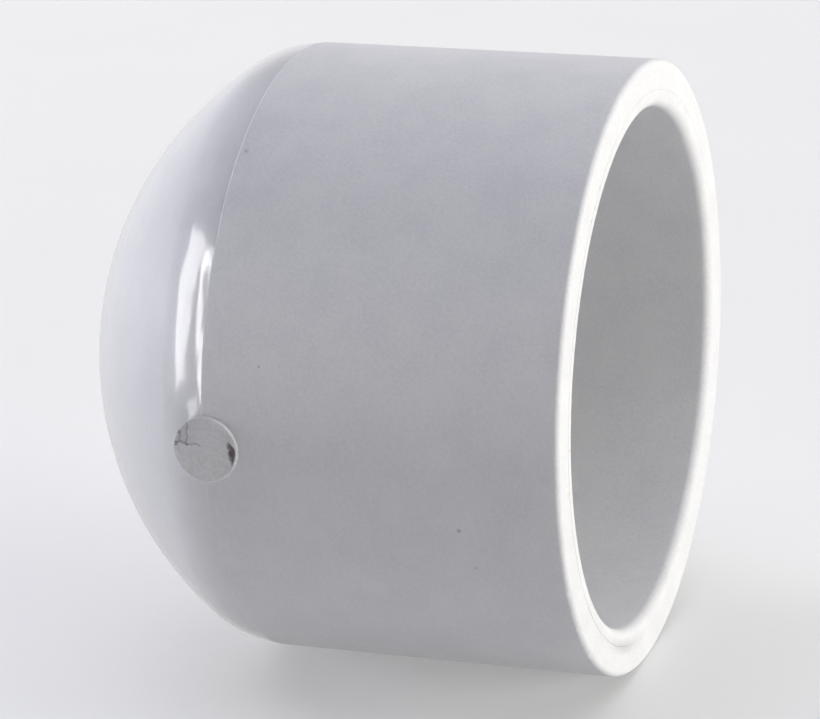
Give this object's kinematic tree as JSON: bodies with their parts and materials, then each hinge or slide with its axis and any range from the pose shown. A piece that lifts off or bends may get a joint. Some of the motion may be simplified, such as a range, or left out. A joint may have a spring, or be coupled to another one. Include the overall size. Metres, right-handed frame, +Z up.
{
  "type": "pipe cap",
  "caption": "Domed slip cap in white rigid PVC that closes the end of a 1-1/2 inch (DN 40) pressure pipe, with a plain solvent-weld socket.",
  "frame": {"origin": "centre of the mouth plane, on the axis of the socket", "axes": "+X along the socket and out of its mouth, +Z up with the cap lying on its side, the clipped gate on the -Y side at the parting plane"},
  "size_m": [0.0523, 0.058, 0.0576],
  "materials": {
    "satin_pvc": "white rigid PVC from a satin mould half, fine spark texture",
    "glossy_pvc": "white rigid PVC from a polished mould half",
    "cut_pvc": "clipped and torn white rigid PVC"
  },
  "bodies": {
    "root": {"socket_barrel": "satin_pvc", "domed_end": "glossy_pvc", "gate_stub": "cut_pvc"}
  },
  "joints": []
}
